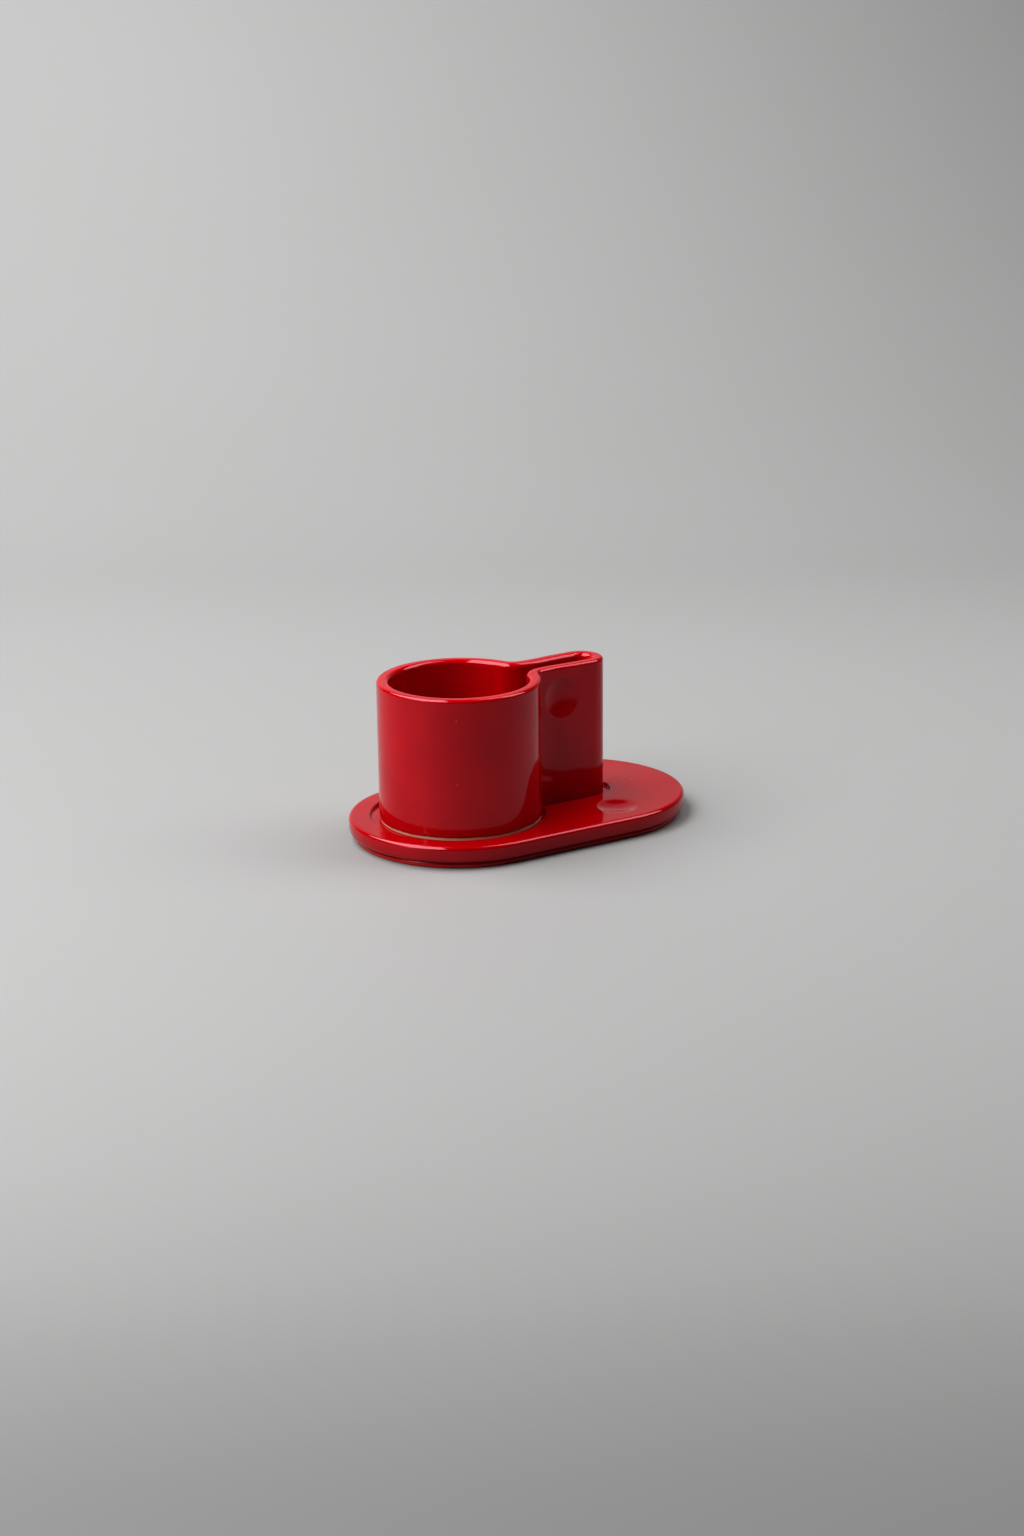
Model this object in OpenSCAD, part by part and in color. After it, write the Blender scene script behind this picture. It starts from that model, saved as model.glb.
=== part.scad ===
// Espresso cup and saucer in glazed ceramic.
// The cup's wall runs out of its round body into a narrow loop handle, so its plan is a keyhole.
// The cup stands in a shallow recess of the same plan in a thick saucer with round ends.
// Lengths are in millimetres. +X points along the handle and +Z points up.
// The origin is at the middle of the saucer, on the surface that it stands on.

/* [Cup] */
// Outer diameter of the cup's round body
cup_d = 60; // [56:1:66]
// Height of the cup from its underside to its rim
cup_h = 52.5; // [40:0.5:70]
// Thickness of the wall, the same round the body and the handle
wall = 4.6; // [3.6:0.1:5.2]
// Height of the inside floor above the cup's underside
floor_h = 5; // [4:0.5:8]
// Radius of the hollow corner between the inside floor and the wall
cove_r = 2; // [1:0.5:2]
// Radius of the rim's two edges
rim_r = 1.3; // [0.8:0.1:1.7]

/* [Bare clay foot of the cup] */
// Height of the unglazed band at the bottom of the cup
clay_h = 1; // [0.6:0.1:2]
// How far the bare clay lies behind the face of the glaze
glaze_t = 0.3; // [0.1:0.1:0.6]

/* [Handle] */
// Distance from the cup's axis to the outer end of the handle
handle_reach = 62.4; // [56:0.2:66]
// Width over the handle's two walls
handle_w = 17; // [15:0.5:20]
// Radius of the hollow outer corner where the body turns into the handle
bend_r = 3.4; // [2:0.1:5]
// Distance from the cup's axis to the middle of the thumb dimple
thumb_x = 40; // [39:0.5:45]
// Distance from the rim down to the middle of the thumb dimple
thumb_drop = 12; // [11:0.5:26]
// Depth of the thumb dimple
thumb_depth = 1.4; // [0.5:0.1:1.6]

/* [Saucer] */
// Length of the saucer
saucer_l = 133; // [128:1:150]
// Width of the saucer
saucer_w = 82; // [78:1:96]
// Height of the saucer's top face
saucer_h = 8.5; // [7.5:0.5:12]
// Radius of the slab's upper edge
top_edge_r = 1.3; // [0.6:0.1:1.8]
// Radius of the slab's lower edge
low_edge_r = 1.5; // [0.6:0.1:2]
// Depth of the recess that the cup stands in
recess_depth = 1.2; // [0.8:0.1:2]
// Clearance between the cup and the side of the recess
recess_gap = 2.2; // [1.6:0.1:4]
// How far the cup stands from the middle of its loose recess, towards the end of its handle
cup_shift = 1; // [0:0.1:1.4]
// Clearance between the end of the handle and the end of the recess
end_gap = 2.2; // [1.4:0.1:4]
// Radius of the recess's corners beside the handle
recess_corner_r = 3; // [1:0.5:5]
// Radius of the recess's lip
lip_r = 0.6; // [0.3:0.1:0.8]
// Distance from the cup's axis to the middle of the dimple, along the saucer
press_x = 52.3; // [46:0.1:58]
// Depth of the dimple
press_depth = 1.2; // [0.6:0.1:1.8]
// Width across each dimple
dimple_d = 15; // [12:1:17]

/* [Foot of the saucer] */
// Height of the foot ring
foot_h = 2.3; // [1.5:0.1:3]
// Distance from the slab's edge to the foot ring
foot_inset = 2.6; // [2:0.2:6]
// Width of the foot ring
foot_w = 6; // [4:0.5:10]
// Radius of the foot ring's lower edges
foot_edge_r = 0.5; // [0.3:0.1:0.8]

/* [Hidden] */
$fn = 96;
// How far a cut runs past the face that it opens
overrun = 1;
// How far each hollow bend cuts into the two walls that it joins, so that the faces cross cleanly
bite = 0.01;
// The cup is concentric with the saucer's round end at -X
half_run = (saucer_l - saucer_w) / 2;
cup_x = -half_run;
seat_z = saucer_h - recess_depth;
cup_r = cup_d / 2;
handle_r = handle_w / 2;
recess_r = cup_r + recess_gap;
recess_handle_r = handle_r + recess_gap;
// Centres of the handle's and the recess's round ends, from the cup's and the recess's own middles
end_x = handle_reach - handle_r;
recess_end_x = cup_shift + handle_reach + end_gap - recess_handle_r;
foot_r = saucer_w / 2 - foot_inset;
// The saucer's dimple lies midway from the recess to the edge
press_y = -(recess_handle_r + saucer_w / 2) / 2;

// Distance from the round body's centre to the centre of a hollow bend of radius b, along Y and along X
function bend_y(w, b) = w + b - bite;
function bend_x(r, w, b) = sqrt(pow(r + b - bite, 2) - pow(bend_y(w, b), 2));

// Radius of the ball that presses a dimple of the set width
function ball_r(depth) = (pow(dimple_d / 2, 2) + pow(depth, 2)) / (2 * depth);

// Half section of a hollow, from its middle out to x = $edge and from z0 up to z1
// Its lower edge is rounded by low_r, its upper edge flares out by flare_r, and it runs on above z1 by past
module half_section(z0, z1, low_r, flare_r, past) {
    difference() {
        translate([0, z0]) square([$edge, z1 - z0]);
        if (low_r > 0) difference() {
            translate([$edge - low_r, z0 - overrun]) square(low_r + overrun);
            translate([$edge - low_r, z0 + low_r]) circle(r = low_r);
        }
    }
    if (flare_r > 0) difference() {
        translate([$edge - flare_r, z1 - flare_r]) square([2 * flare_r, flare_r]);
        translate([$edge + flare_r, z1 - flare_r]) circle(r = flare_r);
    }
    if (past > 0) translate([0, z1]) square([$edge + flare_r, past]);
}

// The same section upside down: the upper edge is rounded by high_r, and the lower edge flares out
module turned_section(z0, z1, high_r, flare_r, past) {
    translate([0, z0 + z1]) mirror([0, 1]) half_section(z0, z1, high_r, flare_r, past);
}

// Round body, handle with its round end, and the web between them, before the bends are cut
// The body has radius r, and the handle has half width w and its end's centre at x_end
// The child is the half section out to $edge
module keyhole_mass(r, w, b, x_end, z0, z1) {
    let ($edge = r) rotate_extrude() children();
    let ($edge = w) {
        translate([x_end, 0, 0]) rotate([0, 0, -90]) rotate_extrude(angle = 180) children();
        rotate([90, 0, 90]) linear_extrude(x_end) {
            children();
            mirror([1, 0]) children();
        }
    }
    translate([0, 0, z0]) linear_extrude(z1 - z0)
        polygon([[0, 0], [bend_x(r, w, b), bend_y(w, b)], [bend_x(r, w, b), -bend_y(w, b)]]);
}

// A child section turned round the middle of each hollow bend
module keyhole_bends(r, w, b) {
    for (side = [1, -1]) translate([bend_x(r, w, b), side * bend_y(w, b), 0])
        let ($edge = b) rotate_extrude() children();
}

// Keyhole solid from z0 up to z1, with its upper edge rounded by edge_r
module keyhole_block(r, w, b, x_end, z0, z1, edge_r) {
    difference() {
        keyhole_mass(r, w, b, x_end, z0, z1) turned_section(z0, z1, edge_r, 0, 0);
        keyhole_bends(r, w, b) half_section(z0 - overrun, z1, 0, edge_r, overrun);
    }
}

// Keyhole hollow from its floor at z0 up through a face at z1, with a cove round its floor and a rounded lip
module keyhole_hollow(r, w, b, x_end, z0, z1, cove, lip) {
    difference() {
        keyhole_mass(r, w, b, x_end, z0, z1) half_section(z0, z1, cove, lip, overrun);
        keyhole_bends(r, w, b) turned_section(z0, z1, lip, cove, overrun);
    }
}

// Sweeps a section round a stadium whose round ends have their centres half_run from the middle
module stadium_sweep() {
    translate([half_run, 0, 0]) rotate([0, 0, -90]) rotate_extrude(angle = 180) children();
    translate([-half_run, 0, 0]) rotate([0, 0, 90]) rotate_extrude(angle = 180) children();
    translate([-half_run, 0, 0]) rotate([90, 0, 90]) linear_extrude(2 * half_run) {
        children();
        mirror([1, 0]) children();
    }
}

// Half section of the saucer's slab, with x from its middle
module slab_section() {
    r = saucer_w / 2;
    low_z = foot_h + low_edge_r;
    top_z = saucer_h - top_edge_r;
    translate([0, foot_h]) square([r - low_edge_r, saucer_h - top_edge_r - foot_h]);
    translate([0, low_z]) square([r, top_z - low_z]);
    translate([0, low_z]) square([r - top_edge_r, saucer_h - low_z]);
    translate([r - low_edge_r, low_z]) circle(r = low_edge_r);
    translate([r - top_edge_r, top_z]) circle(r = top_edge_r);
}

// Section of the foot ring, with x from the saucer's middle
module foot_section() {
    low_x = foot_r - foot_w;
    translate([low_x, foot_edge_r]) square([foot_w, foot_h - foot_edge_r]);
    translate([low_x + foot_edge_r, 0]) square([foot_w - 2 * foot_edge_r, foot_h]);
    for (x = [low_x + foot_edge_r, foot_r - foot_edge_r]) translate([x, foot_edge_r]) circle(r = foot_edge_r);
}

// Glazed wall and floor of the cup, with the thumb dimple on the handle's near wall
module cup_body() {
    ball = ball_r(thumb_depth);
    color("firebrick") translate([cup_x, 0, seat_z]) difference() {
        keyhole_block(cup_r, handle_r, bend_r, end_x, clay_h, cup_h, rim_r);
        keyhole_hollow(cup_r - wall, handle_r - wall, bend_r + wall, end_x, floor_h, cup_h, cove_r, rim_r);
        translate([thumb_x, thumb_depth - handle_r, cup_h - thumb_drop]) intersection() {
            translate([0, -ball, 0]) sphere(r = ball);
            // Keeps the ball off the round body
            rotate([90, 0, 0]) cylinder(r = dimple_d / 2 + overrun, h = thumb_depth + overrun);
        }
    }
}

// Bare clay base that the glaze stops short of
module cup_foot() {
    color("rosybrown") translate([cup_x, 0, seat_z])
        keyhole_block(cup_r - glaze_t, handle_r - glaze_t, bend_r + glaze_t, end_x, 0, clay_h, 0);
}

// Glazed slab with the cup's recess and the round dimple in its top face
module saucer_plate() {
    ball = ball_r(press_depth);
    color("darkred") difference() {
        stadium_sweep() slab_section();
        translate([cup_x - cup_shift, 0, 0]) keyhole_hollow(
            recess_r, recess_handle_r, recess_corner_r, recess_end_x, seat_z, saucer_h, 0, lip_r
        );
        translate([cup_x + press_x, press_y, saucer_h + ball - press_depth]) sphere(r = ball);
    }
}

// Foot ring that the saucer stands on
module saucer_foot() {
    color("maroon") stadium_sweep() foot_section();
}

cup_body();
cup_foot();
saucer_plate();
saucer_foot();
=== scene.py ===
"""Espresso cup and saucer in deep red glaze, dressed round their packed construction.

The cup's wall runs out of its round body into a narrow loop handle, so its plan is a keyhole. The cup stands
in a shallow recess of the same plan in a thick saucer with round ends. Each piece is one closed surface: a
section, from the middle of the underside to the middle of the top, carried round the piece's plan.
"""

import logging
import math
from dataclasses import dataclass, field
from enum import Enum, IntEnum

import bmesh
import bpy
import numpy as np
from mathutils import Matrix, Vector

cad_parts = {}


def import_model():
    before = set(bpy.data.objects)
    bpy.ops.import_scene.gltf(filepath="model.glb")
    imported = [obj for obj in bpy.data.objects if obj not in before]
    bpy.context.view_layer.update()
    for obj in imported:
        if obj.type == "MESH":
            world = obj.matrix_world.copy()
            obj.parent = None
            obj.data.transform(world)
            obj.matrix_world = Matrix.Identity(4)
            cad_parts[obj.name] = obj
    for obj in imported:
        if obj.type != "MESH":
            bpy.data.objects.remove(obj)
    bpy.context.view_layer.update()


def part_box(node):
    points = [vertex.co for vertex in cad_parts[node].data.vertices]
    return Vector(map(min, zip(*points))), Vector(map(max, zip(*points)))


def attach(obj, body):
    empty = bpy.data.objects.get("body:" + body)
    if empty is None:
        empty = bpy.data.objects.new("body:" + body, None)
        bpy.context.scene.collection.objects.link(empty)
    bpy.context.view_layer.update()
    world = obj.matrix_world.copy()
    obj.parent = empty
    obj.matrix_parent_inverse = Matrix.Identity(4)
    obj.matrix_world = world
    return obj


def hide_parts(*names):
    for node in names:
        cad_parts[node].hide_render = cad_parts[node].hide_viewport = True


log = logging.getLogger("cup_and_saucer")

MM = 0.001
QUARTER = math.pi / 2
WELD = 1e-7
IMAGE_LONG_SIDE = 1536
CLOSING_SHARES = np.array([0.03, 0.1, 0.25, 0.5, 0.75, 1.0])

Tree = bpy.types.ShaderNodeTree
Socket = bpy.types.NodeSocket
Colour = tuple[float, float, float]


class Steps(IntEnum):
    """How many steps a grid takes on each stretch of a plan or a section."""

    LOOP_END = 28
    LOOP_SIDE = 64
    BEND = 20
    BODY_FRONT = 48
    BODY_BACK = 56
    SMALL_EDGE = 4
    FOOT_EDGE = 5
    EDGE = 8
    FINE_EDGE = 12
    RIM = 5
    FACE = 56
    INSIDE = 60
    OUTSIDE = 99
    SWEEP_BEND = 32


class Fade(Enum):
    """How a rescaled value runs between its two ends."""

    EVEN = "LINEAR"
    SOFT = "SMOOTHSTEP"


class Mixing(Enum):
    """How two colours are mixed."""

    PLAIN = "MIX"
    DARKEN = "MULTIPLY"


def arc(steps: int) -> np.ndarray:
    """Angles of a quarter turn in equal steps, from zero."""
    return np.linspace(0.0, QUARTER, steps + 1)


def run(start: float, end: float, steps: int) -> np.ndarray:
    """Places along a straight stretch in equal steps, without its two ends."""
    return np.linspace(start, end, steps + 1)[1:-1]


def dish(across: np.ndarray, radius: float, depth: float, soft: float) -> np.ndarray:
    """Depth of a finger-pressed dimple with a soft edge.

    The bowl is depth * (1 - (across / radius)^2). Its edge is softened by taking half of the sum of the bowl
    and the root of its square plus soft squared, which fades to nothing outside.

    Args:
        across: Distance of each point from the middle of the dimple.
        radius: Radius of the dimple.
        depth: Depth at its middle.
        soft: How much the edge is softened, as a depth.

    Returns:
        How deep each point is pressed in.
    """
    bowl = depth * (1.0 - (across / radius) ** 2)
    return 0.5 * (bowl + np.sqrt(bowl * bowl + soft * soft))


@dataclass(frozen=True)
class Waves:
    """Slow unevenness of clay that was pressed and sponged by hand.

    It is the mean of sine waves of equal length, each with its own direction and phase, drawn from a seed.
    """

    length: float
    height: float
    seed: int
    count: int = 8

    def at(self, points: np.ndarray) -> np.ndarray:
        """Height of the unevenness at points in space.

        Args:
            points: The points, with their coordinates on the last axis.

        Returns:
            The height at each point.
        """
        draw = np.random.default_rng(self.seed)
        waves = draw.normal(size=(self.count, 3))
        waves *= 2 * math.pi / self.length / np.linalg.norm(waves, axis=1, keepdims=True)
        phases = draw.uniform(0, 2 * math.pi, self.count)
        return self.height * np.sin(points @ waves.T + phases).mean(axis=-1)


def shell(name: str, grid: np.ndarray) -> bpy.types.Object:
    """One closed surface from a grid of points.

    Args:
        name: Name of the piece.
        grid: Points with rows along the section and columns round the plan. The last column meets the first.

    Returns:
        The piece, with its seam and poles welded and its faces turned outwards.
    """
    rows, columns = grid.shape[:2]
    corner = np.arange(rows * columns).reshape(rows, columns)
    ahead = np.roll(corner, -1, axis=1)
    quads = np.stack([corner[:-1], ahead[:-1], ahead[1:], corner[1:]], axis=-1).reshape(-1, 4)
    mesh = bpy.data.meshes.new(name)
    mesh.from_pydata(grid.reshape(-1, 3).tolist(), [], quads.tolist())
    work = bmesh.new()
    work.from_mesh(mesh)
    bmesh.ops.remove_doubles(work, verts=work.verts, dist=WELD)
    bmesh.ops.dissolve_degenerate(work, edges=work.edges, dist=WELD)
    bmesh.ops.recalc_face_normals(work, faces=work.faces)
    work.to_mesh(mesh)
    work.free()
    mesh.shade_smooth()
    piece = bpy.data.objects.new(name, mesh)
    bpy.context.scene.collection.objects.link(piece)
    log.info("%s: %d faces", name, len(mesh.polygons))
    return piece


@dataclass(frozen=True)
class Round:
    """A plan carried round a piece: its edge's points, the way out at each, and the line down its middle."""

    edge: np.ndarray
    out: np.ndarray
    spine: np.ndarray

    @staticmethod
    def mirrored(edge: np.ndarray, out: np.ndarray, spine: np.ndarray) -> "Round":
        """Whole plan from its half at +Y.

        Args:
            edge: Points of the edge, from the tip at +X to the one at -X.
            out: The way out at each point.
            spine: The point of the middle line that belongs to each point.

        Returns:
            The half and its mirror image, joined at the two tips.
        """
        flip = np.array([1.0, -1.0])
        whole = [np.concatenate([half, (half * flip)[-2:0:-1]]) for half in (edge, out, spine)]
        return Round(*whole)

    @property
    def out_in_space(self) -> np.ndarray:
        """The way out at each point, with its height of zero."""
        return np.column_stack([self.out, np.zeros(len(self.out))])

    def row(self, inset: float, height: float | np.ndarray) -> np.ndarray:
        """One row of a grid: the edge drawn in by an inset, at a height."""
        flat = self.edge - inset * self.out
        return np.column_stack([flat, np.broadcast_to(height, len(flat))])

    def closing(self, edge: np.ndarray) -> np.ndarray:
        """Rows of the flat face that closes a grid, from beside its last row to the middle of the plan."""
        middle = np.column_stack([self.spine, edge[:, 2]])
        return edge + CLOSING_SHARES[:, None, None] * (middle - edge)


@dataclass(frozen=True)
class Keyhole:
    """Keyhole plan: a round body that runs through two hollow bends into a narrow loop with a round end."""

    centre_x: float
    body_r: float
    loop_r: float
    bend_r: float
    reach: float

    @property
    def bend_centre(self) -> tuple[float, float]:
        """Centre of the hollow bend at +Y, from the body's centre."""
        y = self.loop_r + self.bend_r
        return math.sqrt((self.body_r + self.bend_r) ** 2 - y * y), y

    def lengths(self) -> list[float]:
        """Lengths of the plan's stretches at +Y.

        Returns:
            The lengths of the loop's end, its side, the bend, and the body as far as where it is widest.
        """
        x, y = self.bend_centre
        turn = QUARTER - math.atan2(y, x)
        return [self.loop_r * QUARTER, self.reach - x, self.bend_r * turn, self.body_r * turn]

    def plan(self) -> Round:
        """The plan as five stretches at +Y, each an arc or a straight line, and their mirror image.

        A point is its centre plus the radius times (cos turn, sin turn), which is also the way out. The
        centres of the straight side lie along the middle line, and the hollow bend has a negative radius.

        Returns:
            The whole plan.
        """
        x, y = self.bend_centre
        lean = math.atan2(y, x)
        tip = arc(Steps.LOOP_END)
        side = run(self.reach, x, Steps.LOOP_SIDE)
        bend = np.linspace(QUARTER, lean, Steps.BEND + 1)
        front = np.linspace(lean, QUARTER, Steps.BODY_FRONT + 1)[1:]
        back = np.linspace(QUARTER, math.pi, Steps.BODY_BACK + 1)[1:]
        body = np.zeros(len(front) + len(back))
        turns = np.concatenate([tip, np.full(len(side), QUARTER), bend, front, back])
        centre_x = np.concatenate([np.full(len(tip), self.reach), side, np.full(len(bend), x), body])
        centre_y = np.concatenate([np.zeros(len(tip) + len(side)), np.full(len(bend), y), body])
        radii = np.concatenate([
            np.full(len(tip) + len(side), self.loop_r),
            np.full(len(bend), -self.bend_r),
            np.full(len(body), self.body_r),
        ])
        out = np.column_stack([np.cos(turns), np.sin(turns)])
        edge = np.column_stack([centre_x, centre_y]) + radii[:, None] * out
        spine_x = np.concatenate([np.full(len(tip), self.reach), side, np.linspace(x, 0.0, len(bend)), body])
        place = np.array([self.centre_x, 0.0])
        return Round.mirrored(edge + place, out, np.column_stack([spine_x, np.zeros(len(spine_x))]) + place)


@dataclass(frozen=True)
class Stadium:
    """Plan of two parallel sides and two round ends."""

    half_run: float
    end_r: float

    def plan_beside(self, keyhole: Keyhole) -> Round:
        """The plan with one column for each column of a keyhole inside it.

        From the tip at +X to where the keyhole's body is widest, the columns divide both plans in the same
        shares of their lengths. From there on, they share their angles.

        Args:
            keyhole: The plan inside, near the middle of the round end at -X.

        Returns:
            The whole plan.
        """
        stretches = keyhole.lengths()
        counts = [Steps.LOOP_END, Steps.LOOP_SIDE, Steps.BEND, Steps.BODY_FRONT]
        steps = np.concatenate([np.full(count, length / count) for count, length in zip(counts, stretches)])
        share = np.concatenate([[0.0], np.cumsum(steps)]) / sum(stretches)
        end_length = self.end_r * QUARTER
        along = share * (end_length + 2 * self.half_run)
        x = self.half_run - np.maximum(along - end_length, 0.0)
        back = np.linspace(QUARTER, math.pi, Steps.BODY_BACK + 1)[1:]
        turns = np.concatenate([np.minimum(along, end_length) / self.end_r, back])
        spine_x = np.concatenate([x, np.full(len(back), -self.half_run)])
        spine = np.column_stack([spine_x, np.zeros(len(turns))])
        out = np.column_stack([np.cos(turns), np.sin(turns)])
        return Round.mirrored(spine + self.end_r * out, out, spine)


def feed(tree: Tree, target: Socket, source: Socket | float | tuple[float, ...]) -> None:
    """Feeds a socket of a tree.

    Args:
        tree: The tree that the socket is in.
        target: The socket that is fed.
        source: Another socket, which is linked to it, or its constant.
    """
    if isinstance(source, Socket):
        tree.links.new(source, target)
    else:
        target.default_value = source


def worked_out(tree: Tree, operation: str, *terms: Socket | float) -> Socket:
    """Value of a sum or product in a tree.

    Args:
        tree: The tree.
        operation: Blender's word for the operation.
        terms: Its terms.

    Returns:
        The socket that gives the value.
    """
    node = tree.nodes.new("ShaderNodeMath")
    node.operation = operation
    for target, term in zip(node.inputs, terms):
        feed(tree, target, term)
    return node.outputs["Value"]


def rescaled(tree: Tree, value: Socket, low: float, high: float, fade: Fade = Fade.EVEN) -> Socket:
    """Share of the way that a value has come between two others.

    Args:
        tree: The tree.
        value: The value.
        low: The value where the share is zero.
        high: The value where the share is one.
        fade: How the share runs between them.

    Returns:
        The socket that gives the share.
    """
    node = tree.nodes.new("ShaderNodeMapRange")
    node.interpolation_type = fade.value
    node.inputs["From Min"].default_value = low
    node.inputs["From Max"].default_value = high
    feed(tree, node.inputs["Value"], value)
    return node.outputs["Result"]


def mixed(
    tree: Tree,
    share: Socket | float,
    first: Socket | Colour,
    second: Socket | Colour,
    how: Mixing = Mixing.PLAIN,
) -> Socket:
    """Mixture of two colours.

    Args:
        tree: The tree.
        share: Share of the second colour.
        first: The first colour.
        second: The second colour.
        how: How they are mixed.

    Returns:
        The socket that gives the mixture.
    """
    node = tree.nodes.new("ShaderNodeMix")
    node.data_type = "RGBA"
    node.blend_type = how.value
    feed(tree, node.inputs["Factor"], share)
    for target, colour in ((node.inputs["A"], first), (node.inputs["B"], second)):
        feed(tree, target, colour if isinstance(colour, Socket) else (*colour, 1.0))
    return node.outputs["Result"]


def noise(tree: Tree, place: Socket, scale: Socket | float, detail: float) -> Socket:
    """Soft cloudy noise.

    Args:
        tree: The tree.
        place: Where the noise is taken.
        scale: How many waves it has to a metre.
        detail: How many finer layers it has.

    Returns:
        The socket that gives the noise.
    """
    node = tree.nodes.new("ShaderNodeTexNoise")
    node.inputs["Detail"].default_value = detail
    feed(tree, node.inputs["Vector"], place)
    feed(tree, node.inputs["Scale"], scale)
    return node.outputs["Fac"]


def on_object(tree: Tree) -> Socket:
    """Place on the object that wears the finish."""
    return tree.nodes.new("ShaderNodeTexCoord").outputs["Object"]


def raised(tree: Tree, height: Socket, depth: float) -> Socket:
    """Normal of a surface with a fine relief.

    Args:
        tree: The tree.
        height: Height of the relief, as a share.
        depth: Its full depth.

    Returns:
        The socket that gives the normal.
    """
    node = tree.nodes.new("ShaderNodeBump")
    node.inputs["Distance"].default_value = depth
    feed(tree, node.inputs["Height"], height)
    return node.outputs["Normal"]


def new_material(name: str) -> tuple[bpy.types.Material, Tree, bpy.types.ShaderNode]:
    """An undressed material.

    Args:
        name: Its name.

    Returns:
        The material, its tree and its shader.
    """
    material = bpy.data.materials.new(name)
    material.use_nodes = True
    return material, material.node_tree, material.node_tree.nodes["Principled BSDF"]


@dataclass(frozen=True)
class GlazeDetail:
    """Shader group that every glaze shares: slow colour change, a faintly uneven skin, and pinholes."""

    name: str = "glaze_detail"
    given: tuple[tuple[str, float], ...] = (
        ("Mottle scale", 60.0), ("Skin scale", 400.0), ("Pinhole scale", 260.0), ("Roughness", 0.05),
    )
    mottle_low: float = 0.35
    mottle_high: float = 0.65
    mottle_detail: float = 3.0
    skin_detail: float = 1.0
    pinhole_from: float = 0.94
    pinhole_r: float = 0.12
    pinhole_dull: float = 0.3
    pinhole_pale: float = 0.3
    pale: Colour = (0.8, 0.35, 0.28)

    def pinholes(self, tree: Tree, place: Socket, scale: Socket) -> Socket:
        """Mask of the pinholes: a few cells of a pattern have one, which fades out from the cell's middle.

        Args:
            tree: The group.
            place: Where the pattern is taken.
            scale: How many cells it has to a metre.

        Returns:
            The socket that gives the mask.
        """
        cells = tree.nodes.new("ShaderNodeTexVoronoi")
        feed(tree, cells.inputs["Vector"], place)
        feed(tree, cells.inputs["Scale"], scale)
        lot = tree.nodes.new("ShaderNodeSeparateColor")
        feed(tree, lot.inputs["Color"], cells.outputs["Color"])
        chosen = worked_out(tree, "GREATER_THAN", lot.outputs["Red"], self.pinhole_from)
        outside = rescaled(tree, cells.outputs["Distance"], 0.0, self.pinhole_r, Fade.SOFT)
        return worked_out(tree, "MULTIPLY", chosen, worked_out(tree, "SUBTRACT", 1.0, outside))

    def group(self) -> Tree:
        """Builds the group once.

        Returns:
            The group, with its scale inputs and its colour, roughness and height outputs.
        """
        found = bpy.data.node_groups.get(self.name)
        if found:
            return found
        tree = bpy.data.node_groups.new(self.name, "ShaderNodeTree")
        for name in ("Colour", "Deep colour"):
            tree.interface.new_socket(name, in_out="INPUT", socket_type="NodeSocketColor")
        for name, value in self.given:
            socket = tree.interface.new_socket(name, in_out="INPUT", socket_type="NodeSocketFloat")
            socket.default_value = value
        tree.interface.new_socket("Colour", in_out="OUTPUT", socket_type="NodeSocketColor")
        tree.interface.new_socket("Roughness", in_out="OUTPUT", socket_type="NodeSocketFloat")
        tree.interface.new_socket("Height", in_out="OUTPUT", socket_type="NodeSocketFloat")
        given = tree.nodes.new("NodeGroupInput").outputs
        made = tree.nodes.new("NodeGroupOutput").inputs
        place = on_object(tree)
        mottle = noise(tree, place, given["Mottle scale"], self.mottle_detail)
        pooled = rescaled(tree, mottle, self.mottle_low, self.mottle_high)
        skin = noise(tree, place, given["Skin scale"], self.skin_detail)
        hole = self.pinholes(tree, place, given["Pinhole scale"])
        colour = mixed(tree, pooled, given["Deep colour"], given["Colour"])
        speck = worked_out(tree, "MULTIPLY", hole, self.pinhole_pale)
        feed(tree, made["Colour"], mixed(tree, speck, colour, self.pale))
        dull = worked_out(tree, "MULTIPLY_ADD", hole, self.pinhole_dull, given["Roughness"])
        feed(tree, made["Roughness"], dull)
        feed(tree, made["Height"], worked_out(tree, "SUBTRACT", skin, hole))
        return tree


@dataclass(frozen=True)
class Glaze:
    """Deep red glaze: glossy, a little uneven, and slightly deeper where it pooled."""

    name: str
    colour: Colour = (0.41, 0.0, 0.006)
    deep: Colour = (0.36, 0.0, 0.006)
    roughness: float = 0.09
    ior: float = 1.6
    shine: Colour = (1.0, 0.7, 0.78)
    skin_depth: float = 0.006 * MM

    def material(self) -> bpy.types.Material:
        """Builds the material.

        Returns:
            The material, of the shared detail group and one shader.
        """
        material, tree, shader = new_material(self.name)
        detail = tree.nodes.new("ShaderNodeGroup")
        detail.node_tree = GlazeDetail().group()
        detail.inputs["Colour"].default_value = (*self.colour, 1.0)
        detail.inputs["Deep colour"].default_value = (*self.deep, 1.0)
        detail.inputs["Roughness"].default_value = self.roughness
        feed(tree, shader.inputs["Base Color"], detail.outputs["Colour"])
        feed(tree, shader.inputs["Roughness"], detail.outputs["Roughness"])
        feed(tree, shader.inputs["Normal"], raised(tree, detail.outputs["Height"], self.skin_depth))
        shader.inputs["IOR"].default_value = self.ior
        shader.inputs["Specular Tint"].default_value = (*self.shine, 1.0)
        return material


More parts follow.
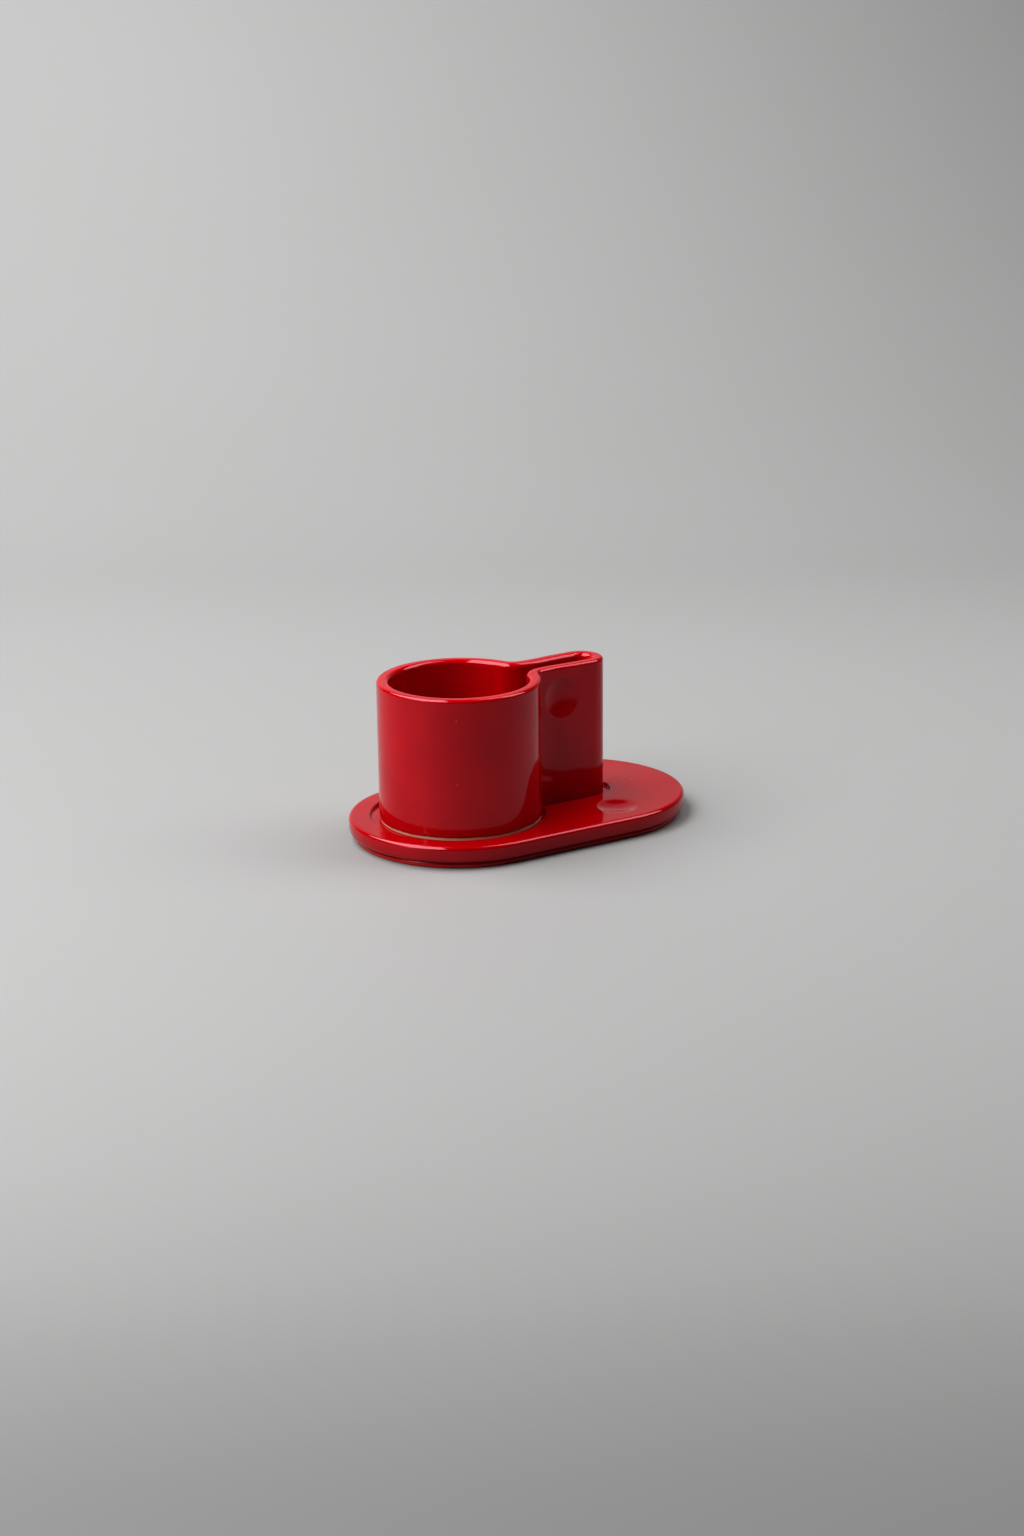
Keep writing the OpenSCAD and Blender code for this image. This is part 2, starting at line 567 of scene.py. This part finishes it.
@dataclass(frozen=True)
class BareClay:
    """Unglazed buff clay with a fine grain."""

    name: str
    light: Colour = (0.62, 0.40, 0.29)
    dark: Colour = (0.42, 0.24, 0.16)
    roughness: float = 0.85
    grain_scale: float = 2600.0
    grain_detail: float = 4.0
    grain_depth: float = 0.05 * MM

    def material(self) -> bpy.types.Material:
        """Builds the material.

        Returns:
            The material, in which one noise mixes the clay's tones and raises its grain.
        """
        material, tree, shader = new_material(self.name)
        grain = noise(tree, on_object(tree), self.grain_scale, self.grain_detail)
        feed(tree, shader.inputs["Base Color"], mixed(tree, grain, self.dark, self.light))
        feed(tree, shader.inputs["Normal"], raised(tree, grain, self.grain_depth))
        shader.inputs["Roughness"].default_value = self.roughness
        return material


@dataclass(frozen=True)
class Paper:
    """Grey paper of the studio sweep with painted light falloff: its grey is palest up behind the object and
    darkens towards the camera, standing in for how the light falls off.

    Its painted greys are pairs of a share of the way from near to far, and a grey.
    """

    away: tuple[float, float]
    name: str = "sweep_paper_painted_falloff"
    near: float = -0.6
    far: float = 1.4
    # Painted light falloff: greys from darkest on the camera side to palest up behind the object.
    painted_falloff_shares: tuple[tuple[float, float], ...] = (
        (0.0, 0.18), (0.07, 0.20), (0.1, 0.235), (0.12, 0.26), (0.15, 0.28), (0.2, 0.291), (0.26, 0.294),
        (0.33, 0.292), (0.46, 0.322), (0.57, 0.345), (0.7, 0.365), (0.85, 0.375), (1.0, 0.38),
    )
    cloud_scale: float = 5.0
    cloud_detail: float = 2.0
    cloud_dim: Colour = (0.98, 0.975, 0.97)
    cloud_clear: Colour = (1.0, 1.0, 1.0)
    roughness: float = 0.6
    shine: float = 0.3

    def painted_falloff(self, tree: Tree, place: Socket) -> Socket:
        """Painted light falloff on the paper: a grey that follows the way back along it and up it, standing
        in for how the light falls off.

        Args:
            tree: The material's tree.
            place: Place on the paper.

        Returns:
            The socket that gives the grey.
        """
        along = tree.nodes.new("ShaderNodeVectorMath")
        along.operation = "DOT_PRODUCT"
        along.inputs[1].default_value = (*self.away, 1.0)
        feed(tree, along.inputs[0], place)
        ramp = tree.nodes.new("ShaderNodeValToRGB")
        ramp.color_ramp.interpolation = "B_SPLINE"
        for share, _ in self.painted_falloff_shares[2:]:
            ramp.color_ramp.elements.new(share)
        for stop, (share, grey) in zip(ramp.color_ramp.elements, self.painted_falloff_shares):
            stop.position = share
            stop.color = (grey, grey, grey, 1.0)
        feed(tree, ramp.inputs["Fac"], rescaled(tree, along.outputs["Value"], self.near, self.far))
        return ramp.outputs["Color"]

    def material(self) -> bpy.types.Material:
        """Builds the material.

        Returns:
            The material, with the paper's painted light falloff and a faint cloudiness.
        """
        material, tree, shader = new_material(self.name)
        place = on_object(tree)
        cloud = noise(tree, place, self.cloud_scale, self.cloud_detail)
        tint = mixed(tree, cloud, self.cloud_dim, self.cloud_clear)
        # The paper's colour is the painted light falloff, darkened a little by the faint cloudiness.
        feed(tree, shader.inputs["Base Color"], mixed(tree, 1.0, self.painted_falloff(tree, place), tint, Mixing.DARKEN))
        shader.inputs["Roughness"].default_value = self.roughness
        shader.inputs["Specular IOR Level"].default_value = self.shine
        return material


@dataclass
class Cup:
    """The cup: a glazed wall of one keyhole plan, on a bare clay foot."""

    seat_z: float
    axis_x: float
    body_d: float = 60.0 * MM
    height: float = 52.5 * MM
    wall: float = 4.6 * MM
    floor_h: float = 5.0 * MM
    cove_r: float = 2.0 * MM
    rim_out_r: float = 1.2 * MM
    rim_in_r: float = 1.7 * MM
    handle_reach: float = 62.4 * MM
    handle_w: float = 17.0 * MM
    bend_r: float = 3.4 * MM
    waist: float = 0.5 * MM
    waist_x: float = 36.0 * MM
    waist_run: float = 6.0 * MM
    dimple_r: float = 7.5 * MM
    thumb_x: float = 40.0 * MM
    thumb_drop: float = 12.0 * MM
    thumb_depth: float = 1.4 * MM
    thumb_lean: float = 0.25
    dimple_soft: float = 0.2 * MM
    clay_h: float = 1.0 * MM
    clay_edge_r: float = 0.3 * MM
    glaze_t: float = 0.3 * MM
    glaze_lap: float = 1.0 * MM
    lap_inset: float = 0.45 * MM
    drip_inset: float = 0.39 * MM
    glaze_tilt: float = 0.35 * MM
    settle_power: int = 12
    low_x: float = 22.0 * MM
    low_run: float = 8.0 * MM
    low_share: float = 0.85
    coarse: Waves = Waves(9.0 * MM, 0.2 * MM, 5)
    fine: Waves = Waves(2.2 * MM, 0.12 * MM, 9)
    hand: Waves = Waves(38.0 * MM, 0.12 * MM, 3)
    glaze: Glaze = field(default_factory=lambda: Glaze("cup_red_glaze"))
    clay: BareClay = field(default_factory=lambda: BareClay("cup_bare_clay"))

    @property
    def keyhole(self) -> Keyhole:
        """Plan of the outside of the wall."""
        loop_r = self.handle_w / 2
        return Keyhole(self.axis_x, self.body_d / 2, loop_r, self.bend_r, self.handle_reach - loop_r)

    def glaze_edge(self, plan: Round) -> np.ndarray:
        """Height of the glaze's lower edge: the clay's height, a slight tilt to -Y, and two ragged waves.

        On the handle, the edge runs smoothly and comes down by low_share of the clay's height.

        Args:
            plan: Plan of the outside of the wall.

        Returns:
            The height at each column of the plan.
        """
        place = plan.row(0.0, 0.0)
        handle = np.clip((place[:, 0] - self.axis_x - self.low_x) / self.low_run, 0.0, 1.0)
        tilt = -self.glaze_tilt * place[:, 1] / (self.body_d / 2)
        ragged = tilt + self.coarse.at(place) + self.fine.at(place)
        return self.clay_h * (1 - self.low_share * handle) + ragged * (1 - handle)

    def outside_rows(self, plan: Round) -> list[np.ndarray]:
        """Rows of the outside: from behind the clay, round the glaze's edge, up the wall and over the rim.

        A row of the wall at a share of the way up is moved by how far the glaze's edge lies above the clay's
        height, times (1 - share)^settle_power.

        Args:
            plan: Plan of the outside of the wall.

        Returns:
            The rows.
        """
        edge = self.glaze_edge(plan)
        rows = [plan.row(self.lap_inset, self.clay_h + self.glaze_lap)]
        for angle in arc(Steps.SMALL_EDGE):
            height = edge + self.glaze_t * (1 - math.cos(angle))
            rows.append(plan.row(self.drip_inset * (1 - math.sin(angle)), height))
        low, high = self.clay_h + self.glaze_t, self.height - self.rim_out_r
        for share in np.linspace(0.0, 1.0, Steps.OUTSIDE + 1)[1:]:
            settle = (1 - share) ** self.settle_power
            rows.append(plan.row(0.0, low + share * (high - low) + settle * (edge - self.clay_h)))
        for angle in arc(Steps.EDGE)[1:]:
            inset = self.rim_out_r * (1 - math.cos(angle))
            rows.append(plan.row(inset, self.height - self.rim_out_r * (1 - math.sin(angle))))
        for inset in run(self.rim_out_r, self.wall - self.rim_in_r, Steps.RIM):
            rows.append(plan.row(inset, self.height))
        return rows

    def inside_rows(self, plan: Round) -> list[np.ndarray]:
        """Rows of the inside: over the rim's inner edge, down the wall, and round the cove to the floor.

        Args:
            plan: Plan of the outside of the wall.

        Returns:
            The rows.
        """
        rows = []
        for angle in arc(Steps.FINE_EDGE):
            inset = self.wall - self.rim_in_r * (1 - math.sin(angle))
            rows.append(plan.row(inset, self.height - self.rim_in_r * (1 - math.cos(angle))))
        for z in run(self.height - self.rim_in_r, self.floor_h + self.cove_r, Steps.INSIDE):
            rows.append(plan.row(self.wall, z))
        for angle in arc(Steps.EDGE):
            inset = self.wall + self.cove_r * (1 - math.cos(angle))
            rows.append(plan.row(inset, self.floor_h + self.cove_r * (1 - math.sin(angle))))
        return rows

    def thumb_press(self, grid: np.ndarray, plan: Round) -> np.ndarray:
        """How deep the thumb dimple is at each point of the outside.

        It is deeper towards its top, by thumb_lean times the rise from its middle over its radius. It fades
        out where the wall no longer faces -Y: it is times -2 * out_y - 1, kept from 0 to 1.

        Args:
            grid: Points of the outside.
            plan: Plan of the outside of the wall.

        Returns:
            The depth at each point.
        """
        rise = grid[..., 2] - (self.height - self.thumb_drop)
        across = np.hypot(grid[..., 0] - self.axis_x - self.thumb_x, rise)
        near = np.clip(-2 * plan.out[:, 1] - 1, 0, 1)
        lean = 1 + self.thumb_lean * rise / self.dimple_r
        return dish(across, self.dimple_r, self.thumb_depth, self.dimple_soft) * lean * near

    def by_hand(self, grid: np.ndarray, plan: Round) -> np.ndarray:
        """A closed grid of the cup with the handle's waist and the hand's unevenness, on its seat.

        The waist draws the two long walls in by waist * exp(-((x - waist_x) / waist_run)^2) * out_y^4.

        Args:
            grid: Rows of the section, above the cup's underside.
            plan: Plan of the outside of the wall.

        Returns:
            The grid, moved, and closed at both ends.
        """
        x = grid[..., 0] - self.axis_x
        squeeze = self.waist * np.exp(-((x - self.waist_x) / self.waist_run) ** 2) * plan.out[:, 1] ** 4
        grid = grid + (self.hand.at(grid) - squeeze)[..., None] * plan.out_in_space
        grid[..., 2] += self.seat_z
        return np.concatenate([plan.closing(grid[0])[::-1], grid, plan.closing(grid[-1])])

    def body_grid(self) -> np.ndarray:
        """Grid of the glazed wall and floor, with the thumb dimple.

        Returns:
            The grid.
        """
        plan = self.keyhole.plan()
        outside = np.stack(self.outside_rows(plan))
        outside -= self.thumb_press(outside, plan)[..., None] * plan.out_in_space
        return self.by_hand(np.concatenate([outside, self.inside_rows(plan)]), plan)

    def foot_grid(self) -> np.ndarray:
        """Grid of the bare clay foot: a low plate with a worn lower edge, behind the face of the glaze.

        Returns:
            The grid.
        """
        plan = self.keyhole.plan()
        top = self.clay_h + self.glaze_lap
        rows = []
        for angle in arc(Steps.SMALL_EDGE):
            inset = self.glaze_t + self.clay_edge_r * (1 - math.sin(angle))
            rows.append(plan.row(inset, self.clay_edge_r * (1 - math.cos(angle))))
        rows += [plan.row(self.glaze_t, z) for z in (*run(self.clay_edge_r, top, Steps.SMALL_EDGE), top)]
        return self.by_hand(np.stack(rows), plan)

    def build(self) -> None:
        """Builds both pieces, dresses them and puts them on the cup's body."""
        body = shell("cup_glazed_body", self.body_grid())
        body.data.materials.append(self.glaze.material())
        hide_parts("cup_body")
        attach(body, "cup")
        foot = shell("cup_clay_foot", self.foot_grid())
        foot.data.materials.append(self.clay.material())
        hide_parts("cup_foot")
        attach(foot, "cup")


@dataclass
class Saucer:
    """The saucer: a thick slab with round ends and a keyhole recess, on a foot ring."""

    top_z: float
    recess_z: float
    cup: Keyhole
    length: float = 133.0 * MM
    width: float = 82.0 * MM
    top_edge_r: float = 1.3 * MM
    belly: float = 0.4 * MM
    belly_share: float = 0.65
    low_edge_r: float = 1.5 * MM
    recess_gap: float = 2.2 * MM
    recess_corner_r: float = 3.0 * MM
    end_gap: float = 2.2 * MM
    cup_shift: float = 1.0 * MM
    lip_r: float = 0.6 * MM
    sole_r: float = 0.4 * MM
    dimple_r: float = 7.5 * MM
    press_x: float = 52.3 * MM
    press_depth: float = 1.2 * MM
    dimple_soft: float = 0.25 * MM
    foot_h: float = 2.3 * MM
    foot_inset: float = 2.4 * MM
    foot_w: float = 6.0 * MM
    foot_edge_r: float = 0.5 * MM
    hand: Waves = Waves(24.0 * MM, 0.16 * MM, 11)
    turn: float = -1.2
    # Painted shade: the saucer's red is a darker copy of the cup's glaze, standing in for less light falling
    # on its top.
    glaze: Glaze = field(default_factory=lambda: Glaze(
        "saucer_red_glaze_painted_shade", colour=(0.36, 0.0, 0.005), deep=(0.32, 0.0, 0.005),
    ))
    # Painted light: the foot ring's red is a lighter copy of the glaze, standing in for light reaching under
    # the slab's overhang.
    foot_glaze: Glaze = field(default_factory=lambda: Glaze(
        "foot_red_glaze_painted_light", colour=(0.55, 0.02, 0.015), deep=(0.45, 0.01, 0.01), roughness=0.2,
    ))

    @property
    def recess(self) -> Keyhole:
        """Plan of the recess's side, which follows the cup's with a clearance.

        The cup stands off its middle, towards the end of the handle.

        Returns:
            The plan.
        """
        body_r, loop_r = self.cup.body_r + self.recess_gap, self.cup.loop_r + self.recess_gap
        reach = self.cup_shift + self.cup.reach + self.cup.loop_r + self.end_gap - loop_r
        return Keyhole(self.cup.centre_x - self.cup_shift, body_r, loop_r, self.recess_corner_r, reach)

    @property
    def press_y(self) -> float:
        """Place of the dimple's middle across the saucer, midway from the recess to the edge."""
        return -(self.recess.loop_r + self.width / 2) / 2

    @property
    def slab(self) -> Stadium:
        """Plan of the slab."""
        end_r = self.width / 2
        return Stadium(self.length / 2 - end_r, end_r)

    def turned(self, grid: np.ndarray) -> np.ndarray:
        """The grid turned on the table under the cup, which sits a little turned in its loose recess."""
        c, s = math.cos(math.radians(self.turn)), math.sin(math.radians(self.turn))
        return grid @ np.array([[c, s, 0.0], [-s, c, 0.0], [0.0, 0.0, 1.0]])

    def swell(self, z: float) -> float:
        """How far the side lies behind its fullest line at a height: belly * (rise / full rise - 1)^2."""
        full_rise = self.belly_share * (self.top_z - self.foot_h)
        return self.belly * ((z - self.foot_h) / full_rise - 1) ** 2

    def side_rows(self, slab: Round) -> list[np.ndarray]:
        """Rows of the slab's side, from under its lower edge, up its swell and over its upper edge.

        Args:
            slab: Plan of the slab.

        Returns:
            The rows.
        """
        low, top = self.low_edge_r, self.top_edge_r
        rows = []
        for angle in arc(Steps.EDGE):
            z = self.foot_h + low * (1 - math.cos(angle))
            rows.append(slab.row(low * (1 - math.sin(angle)) + self.swell(z), z))
        for z in run(self.foot_h + low, self.top_z - top, Steps.EDGE):
            rows.append(slab.row(self.swell(z), z))
        for angle in arc(Steps.EDGE):
            z = self.top_z - top * (1 - math.sin(angle))
            rows.append(slab.row(top * (1 - math.cos(angle)) + self.swell(z), z))
        return rows

    def recess_rows(self, hole: Round) -> list[np.ndarray]:
        """Rows of the recess, from the top of its lip down to its floor.

        Args:
            hole: Plan of the recess.

        Returns:
            The rows.
        """
        rows = []
        for angle in arc(Steps.EDGE):
            inset = -self.lip_r * (1 - math.sin(angle))
            rows.append(hole.row(inset, self.top_z - self.lip_r * (1 - math.cos(angle))))
        for angle in arc(Steps.EDGE):
            inset = self.sole_r * (1 - math.cos(angle))
            rows.append(hole.row(inset, self.recess_z + self.sole_r * (1 - math.sin(angle))))
        return rows

    def plate_grid(self) -> np.ndarray:
        """Grid of the slab: its underside, side and top face, and the recess.

        A row of the top face lies between the side's last row and the recess's first, at the share
        (1 - cos(pi * step)) / 2. The hand's unevenness and the dimple move the top face up and down, and fade
        out over one lip radius below it.

        Returns:
            The grid.
        """
        hole = self.recess.plan()
        slab = self.slab.plan_beside(self.recess)
        side, recess = self.side_rows(slab), self.recess_rows(hole)
        shares = 0.5 - 0.5 * np.cos(np.pi * run(0.0, 1.0, Steps.FACE))
        face = side[-1] + shares[:, None, None] * (recess[0] - side[-1])
        grid = np.concatenate([side, face, recess])
        across = np.hypot(grid[..., 0] - self.cup.centre_x - self.press_x, grid[..., 1] - self.press_y)
        press = dish(across, self.dimple_r, self.press_depth, self.dimple_soft)
        wave = self.hand.at(grid * np.array([1.0, 1.0, 0.0]))
        level = np.clip(1 - (self.top_z - grid[..., 2]) / self.lip_r, 0, 1)
        grid[..., 2] += level * (wave - press)
        return self.turned(np.concatenate([slab.closing(grid[0])[::-1], grid, hole.closing(grid[-1])]))

    def foot_grid(self) -> np.ndarray:
        """Grid of the foot ring: a closed band with rounded lower edges, carried round the slab's plan.

        Returns:
            The grid.
        """
        plan = self.slab.plan_beside(self.recess)
        r, out, back = self.foot_edge_r, self.foot_inset, self.foot_inset + self.foot_w
        rows = []
        for angle in arc(Steps.FOOT_EDGE):
            rows.append(plan.row(back - r * (1 - math.cos(angle)), r * (1 - math.sin(angle))))
        for angle in arc(Steps.FOOT_EDGE):
            rows.append(plan.row(out + r * (1 - math.sin(angle)), r * (1 - math.cos(angle))))
        rows += [plan.row(out, self.foot_h), plan.row(back, self.foot_h), rows[0]]
        return self.turned(np.stack(rows))

    def build(self) -> None:
        """Builds both pieces, dresses them and puts them on the saucer's body."""
        plate = shell("saucer_glazed_plate", self.plate_grid())
        plate.data.materials.append(self.glaze.material())
        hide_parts("saucer_plate")
        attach(plate, "saucer")
        foot = shell("saucer_foot_ring", self.foot_grid())
        foot.data.materials.append(self.foot_glaze.material())
        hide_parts("saucer_foot")
        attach(foot, "saucer")


@dataclass(frozen=True)
class Softbox:
    """A soft light seen from the object: angles are in degrees, with the bearing from the camera's side."""

    name: str
    bearing: float
    rise: float
    distance: float
    width: float
    height: float
    power: float
    turn: float = 0.0


@dataclass
class Studio:
    """The camera at the photograph's angle, a pale paper sweep, and soft lights."""

    aim_x: float
    bearing: float = -32.422
    rise: float = 18.497
    distance: float = 1045.02 * MM
    view_bearing: float = -33.522
    view_rise: float = 17.165
    roll: float = -0.596
    focal_px: float = 2828.955
    sensor: float = 36.0
    nearest: float = 10.0 * MM
    sweep_front: float = 0.8
    sweep_back: float = 0.9
    sweep_r: float = 0.5
    sweep_top: float = 0.74
    sweep_half: float = 3.0
    room_light: float = 0.03
    boxes: tuple[Softbox, ...] = (
        Softbox("key_softbox", -74.0, 54.0, 1.0, 1.53, 0.86, 19.0, -24.0),
        Softbox("fill_softbox", 104.0, 54.0, 0.7, 0.37, 0.7, 2.45, -25.0),
    )

    @staticmethod
    def toward(bearing: float, rise: float) -> Vector:
        """Direction at a bearing, from zero at -Y towards +X, and a rise above the floor, both in degrees."""
        turn, lift = math.radians(bearing), math.radians(rise)
        return Vector((math.sin(turn) * math.cos(lift), -math.cos(turn) * math.cos(lift), math.sin(lift)))

    def add_camera(self) -> None:
        """Adds the camera: its place, its viewing axes with their small roll, and its lens."""
        back = self.toward(self.view_bearing, self.view_rise)
        turn, roll = math.radians(self.view_bearing), math.radians(self.roll)
        right = Vector((math.cos(turn), math.sin(turn), 0.0))
        up = back.cross(right)
        rolled_right = right * math.cos(roll) + up * math.sin(roll)
        rolled_up = up * math.cos(roll) - right * math.sin(roll)
        lens = bpy.data.cameras.new("photo_camera")
        lens.sensor_width = self.sensor
        lens.lens = self.focal_px / IMAGE_LONG_SIDE * self.sensor
        lens.clip_start = self.nearest
        camera = bpy.data.objects.new("photo_camera", lens)
        place = Vector((self.aim_x, 0.0, 0.0)) + self.toward(self.bearing, self.rise) * self.distance
        axes = Matrix((rolled_right, rolled_up, back)).transposed().to_4x4()
        camera.matrix_world = Matrix.Translation(place) @ axes
        bpy.context.scene.collection.objects.link(camera)
        bpy.context.scene.camera = camera

    def add_sweep(self) -> None:
        """Adds the paper: flat under the object, then turned up behind it through an arc.

        Its section runs along the floor, round a quarter circle, and up, and it is carried sideways.
        """
        turn = math.radians(self.view_bearing)
        away = np.array([-math.sin(turn), math.cos(turn), 0.0])
        side = np.array([math.cos(turn), math.sin(turn), 0.0])
        up = np.array([0.0, 0.0, 1.0])
        bend = arc(Steps.SWEEP_BEND)
        bend_along = self.sweep_back - self.sweep_r * (1 - np.sin(bend))
        along = np.concatenate([[-self.sweep_front], bend_along, [self.sweep_back]])
        rise = np.concatenate([[0.0], self.sweep_r * (1 - np.cos(bend)), [self.sweep_top]])
        reach = np.array([-self.sweep_half, self.sweep_half])
        grid = along[:, None, None] * away + reach[None, :, None] * side + rise[:, None, None] * up
        corner = np.arange(2 * len(grid)).reshape(-1, 2)
        quads = np.stack([corner[:-1, 0], corner[:-1, 1], corner[1:, 1], corner[1:, 0]], axis=-1)
        mesh = bpy.data.meshes.new("paper_sweep")
        mesh.from_pydata(grid.reshape(-1, 3).tolist(), [], quads.tolist())
        mesh.shade_smooth()
        mesh.materials.append(Paper(away=(away[0], away[1])).material())
        sweep = bpy.data.objects.new("paper_sweep", mesh)
        bpy.context.scene.collection.objects.link(sweep)

    def add_softbox(self, box: Softbox) -> None:
        """Adds one softbox, which faces the object.

        Args:
            box: Its place, size, power and turn in its own plane.
        """
        light = bpy.data.lights.new(box.name, "AREA")
        light.shape = "RECTANGLE"
        light.size = box.width
        light.size_y = box.height
        light.energy = box.power
        lamp = bpy.data.objects.new(box.name, light)
        direction = self.toward(self.view_bearing + box.bearing, box.rise)
        own_turn = Matrix.Rotation(math.radians(box.turn), 3, "Z")
        facing = direction.to_track_quat("Z", "Y").to_matrix() @ own_turn
        lamp.matrix_world = Matrix.Translation(direction * box.distance) @ facing.to_4x4()
        lamp.visible_camera = False
        bpy.context.scene.collection.objects.link(lamp)

    def add_room(self) -> None:
        """Adds a dim even light from all sides."""
        world = bpy.data.worlds.new("dim_room")
        world.use_nodes = True
        background = world.node_tree.nodes["Background"]
        background.inputs["Color"].default_value = (1.0, 1.0, 1.0, 1.0)
        background.inputs["Strength"].default_value = self.room_light
        bpy.context.scene.world = world

    def build(self) -> None:
        """Sets up the whole studio."""
        bpy.context.scene.view_settings.view_transform = "Standard"
        bpy.context.scene.view_settings.look = "High Contrast"
        self.add_camera()
        self.add_sweep()
        for box in self.boxes:
            self.add_softbox(box)
        self.add_room()


def main() -> None:
    """Loads the frame, builds the studio, the saucer and the cup."""
    logging.basicConfig(level=logging.INFO, format="%(message)s")
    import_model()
    _, plate_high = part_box("saucer_plate")
    foot_low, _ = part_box("cup_foot")
    cup_low, cup_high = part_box("cup_body")
    axis_x = cup_low.x + (cup_high.y - cup_low.y) / 2
    cup = Cup(seat_z=foot_low.z, axis_x=axis_x)
    Studio(aim_x=axis_x).build()
    Saucer(top_z=plate_high.z, recess_z=foot_low.z, cup=cup.keyhole).build()
    cup.build()


if __name__ == "__main__":
    main()
